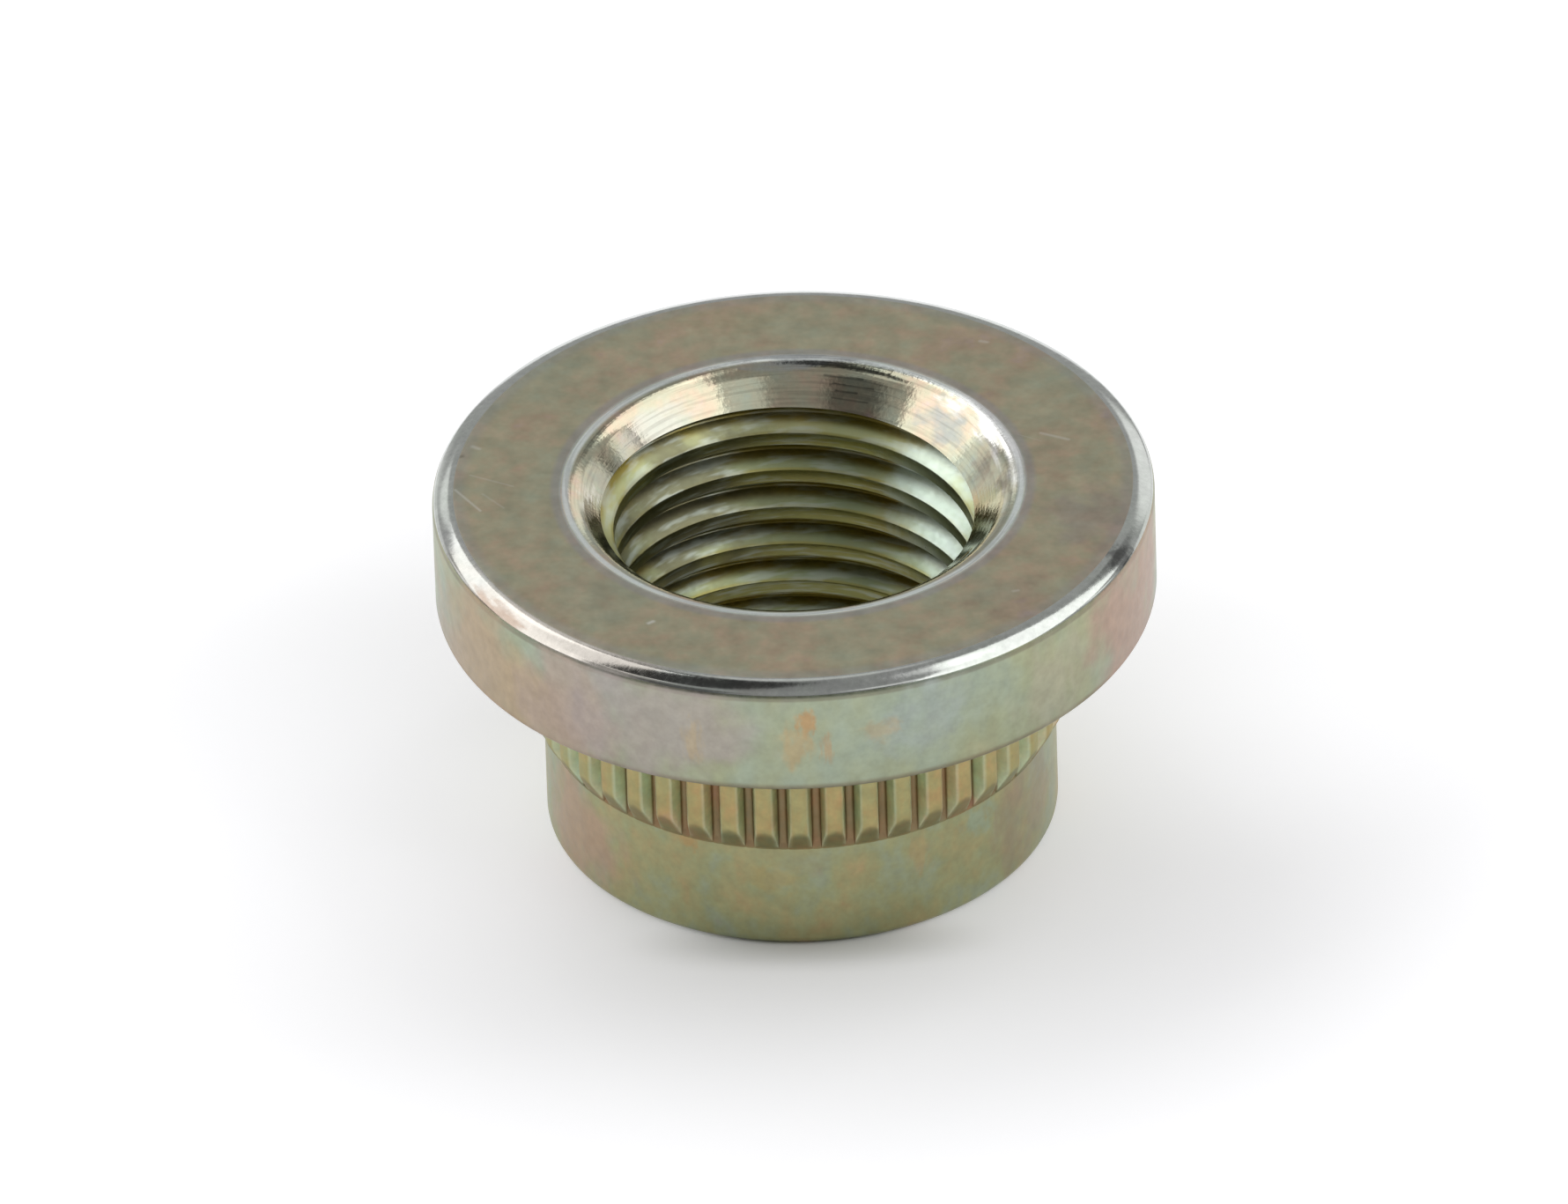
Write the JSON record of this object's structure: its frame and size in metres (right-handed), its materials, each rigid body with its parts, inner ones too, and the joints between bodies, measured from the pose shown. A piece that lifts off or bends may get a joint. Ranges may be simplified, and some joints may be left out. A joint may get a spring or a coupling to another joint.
{
  "type": "self clinching nut",
  "caption": "Round flanged clinch nut with a straight-ribbed collar, a plain pilot end and a countersunk threaded through bore.",
  "frame": {"origin": "on the axis of the nut, in the plane of the pilot's end face, on which it stands", "axes": "+Z along the nut's axis from the pilot end to the flange's face; X and Y are any two directions across it"},
  "size_m": [0.017, 0.017, 0.009],
  "materials": {
    "passivated_zinc": "steel with yellow iridescent passivated zinc plating, satin flats and glossy turned edges"
  },
  "bodies": {
    "root": {"nut_body": "passivated_zinc"}
  },
  "joints": []
}
